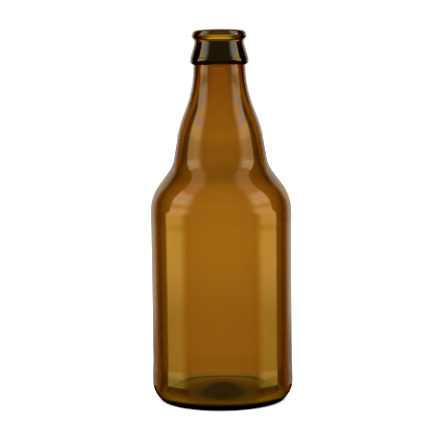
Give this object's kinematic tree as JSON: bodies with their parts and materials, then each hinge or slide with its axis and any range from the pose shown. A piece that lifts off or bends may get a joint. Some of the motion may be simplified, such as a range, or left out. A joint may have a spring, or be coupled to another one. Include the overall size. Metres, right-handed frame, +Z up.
{
  "type": "steinie beer bottle",
  "caption": "Empty short-necked amber glass beer bottle with an open crown finish, bulged neck, straight label panel and shallow push-up base.",
  "frame": {"origin": "centre of the bearing ring, on the surface that the bottle stands on", "axes": "+Z up along the bottle's axis towards the mouth; +X and +Y are any two square directions across it, with -Y towards the viewer"},
  "size_m": [0.0684, 0.0684, 0.1775],
  "materials": {
    "amber_glass": "clear amber soda-lime glass, fire-polished and glossy"
  },
  "bodies": {
    "root": {"bottle": "amber_glass"}
  },
  "joints": []
}
